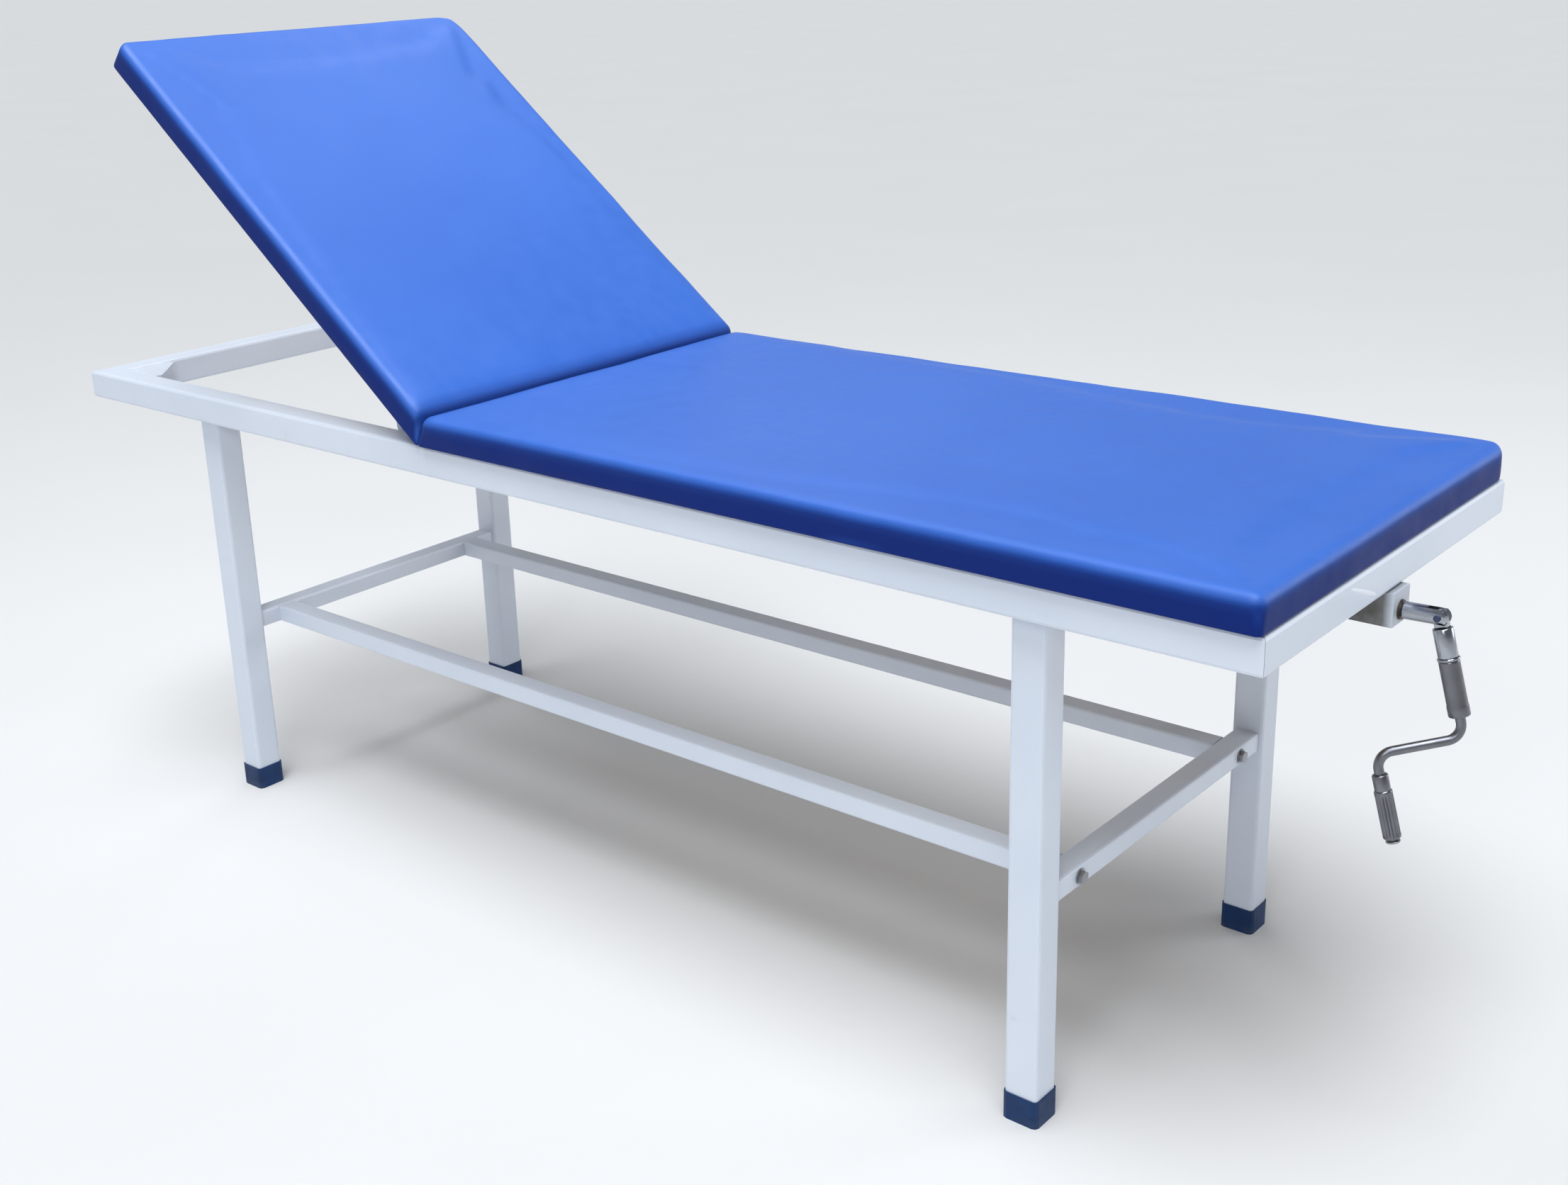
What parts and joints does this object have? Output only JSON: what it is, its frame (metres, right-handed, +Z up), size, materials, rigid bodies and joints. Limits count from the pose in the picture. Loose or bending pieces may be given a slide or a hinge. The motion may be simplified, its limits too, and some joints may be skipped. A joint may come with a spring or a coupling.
{
  "type": "examination couch",
  "caption": "Steel-framed examination couch with a padded seat section and a padded backrest raised by a folding hand crank at the foot end.",
  "frame": {"origin": "under the middle of the overall length, at floor level, in the couch's centre plane", "axes": "+X along the couch towards the foot end and its crank, +Z up, +Y towards the far long side"},
  "size_m": [1.9842, 0.61, 1.1144],
  "materials": {
    "white_powder_coat": "smooth pale blue-white powder coat on welded steel tube",
    "blue_vinyl": "semi-matt bright blue vinyl-coated fabric over foam",
    "plywood": "plain plywood",
    "navy_plastic": "dark navy moulded plastic",
    "chrome": "bright plated steel",
    "zinc_steel": "zinc-plated steel",
    "nylon": "natural nylon",
    "bronze": "machined bronze"
  },
  "bodies": {
    "frame": {"corner_gusset_far": "white_powder_coat", "corner_gusset_near": "white_powder_coat", "crank_bracket": "white_powder_coat", "cross_stretcher_foot": "white_powder_coat", "cross_stretcher_head": "white_powder_coat", "foot_cap_foot_far": "navy_plastic", "foot_cap_foot_near": "navy_plastic", "foot_cap_head_far": "navy_plastic", "foot_cap_head_near": "navy_plastic", "foot_rail": "white_powder_coat", "head_rail": "white_powder_coat", "hinge_pin_far": "zinc_steel", "hinge_pin_near": "zinc_steel", "hinge_washer_far": "nylon", "hinge_washer_near": "nylon", "leg_foot_far": "white_powder_coat", "leg_foot_near": "white_powder_coat", "leg_head_far": "white_powder_coat", "leg_head_near": "white_powder_coat", "long_stretcher_far": "white_powder_coat", "long_stretcher_near": "white_powder_coat", "screw_bush": "bronze", "seat_board": "plywood", "seat_cross_member_1": "white_powder_coat", "seat_cross_member_2": "white_powder_coat", "seat_cross_member_3": "white_powder_coat", "seat_pad": "blue_vinyl", "side_rail_far": "white_powder_coat", "side_rail_near": "white_powder_coat", "stretcher_bolt_foot_far": "zinc_steel", "stretcher_bolt_foot_near": "zinc_steel", "stretcher_bolt_head_far": "zinc_steel", "stretcher_bolt_head_near": "zinc_steel"},
    "backrest": {"back_board": "plywood", "back_cross_tube_1": "white_powder_coat", "back_cross_tube_2": "white_powder_coat", "back_cross_tube_3": "white_powder_coat", "back_pad": "blue_vinyl", "back_side_tube_far": "white_powder_coat", "back_side_tube_near": "white_powder_coat", "hinge_plate_far": "white_powder_coat", "hinge_plate_near": "white_powder_coat", "hinge_tube": "white_powder_coat", "lift_lever": "white_powder_coat", "lever_pin": "zinc_steel"},
    "push_tube": {"push_tube": "zinc_steel", "lead_nut": "bronze", "push_yoke": "zinc_steel"},
    "crank_shaft": {"crank_shaft": "chrome", "lead_screw": "zinc_steel", "thrust_collar": "zinc_steel", "fold_pin": "zinc_steel"},
    "crank": {"crank_tongue": "chrome", "crank_sleeve_upper": "chrome", "crank_ring": "chrome", "crank_sleeve_lower": "chrome", "crank_rod": "chrome", "grip_button": "chrome"},
    "grip": {"crank_grip": "chrome"}
  },
  "joints": [
    {"name": "backrest_tilt", "type": "hinge", "parent": "frame", "child": "backrest", "pos_m": [-0.23225, 0, 0.605], "axis": [0, 1, 0], "range_deg": [-38, 0]},
    {"name": "push_slide", "type": "slide", "parent": "frame", "child": "push_tube", "axis": [0.9995, 0, 0.0303], "range_m": [-0.001, 0.054]},
    {"name": "crank_turn", "type": "hinge", "parent": "frame", "child": "crank_shaft", "pos_m": [0.95395, 0, 0.5645], "axis": [0.9995, 0, 0.0303], "range_deg": [-2400, 10]},
    {"name": "crank_fold", "type": "hinge", "parent": "crank_shaft", "child": "crank", "pos_m": [0.95395, 0, 0.5645], "axis": [0, -1, 0], "range_deg": [-4, 76.14]},
    {"name": "grip_spin", "type": "hinge", "parent": "crank", "child": "grip", "pos_m": [0.91935, -0.04792, 0.42423], "axis": [0.2689, 0, -0.9632], "continuous": true}
  ],
  "couplings": [
    {"joint": "push_slide", "follows": "backrest_tilt", "m_per_rad": -0.07876},
    {"joint": "crank_turn", "follows": "backrest_tilt", "ratio": 61.858}
  ]
}
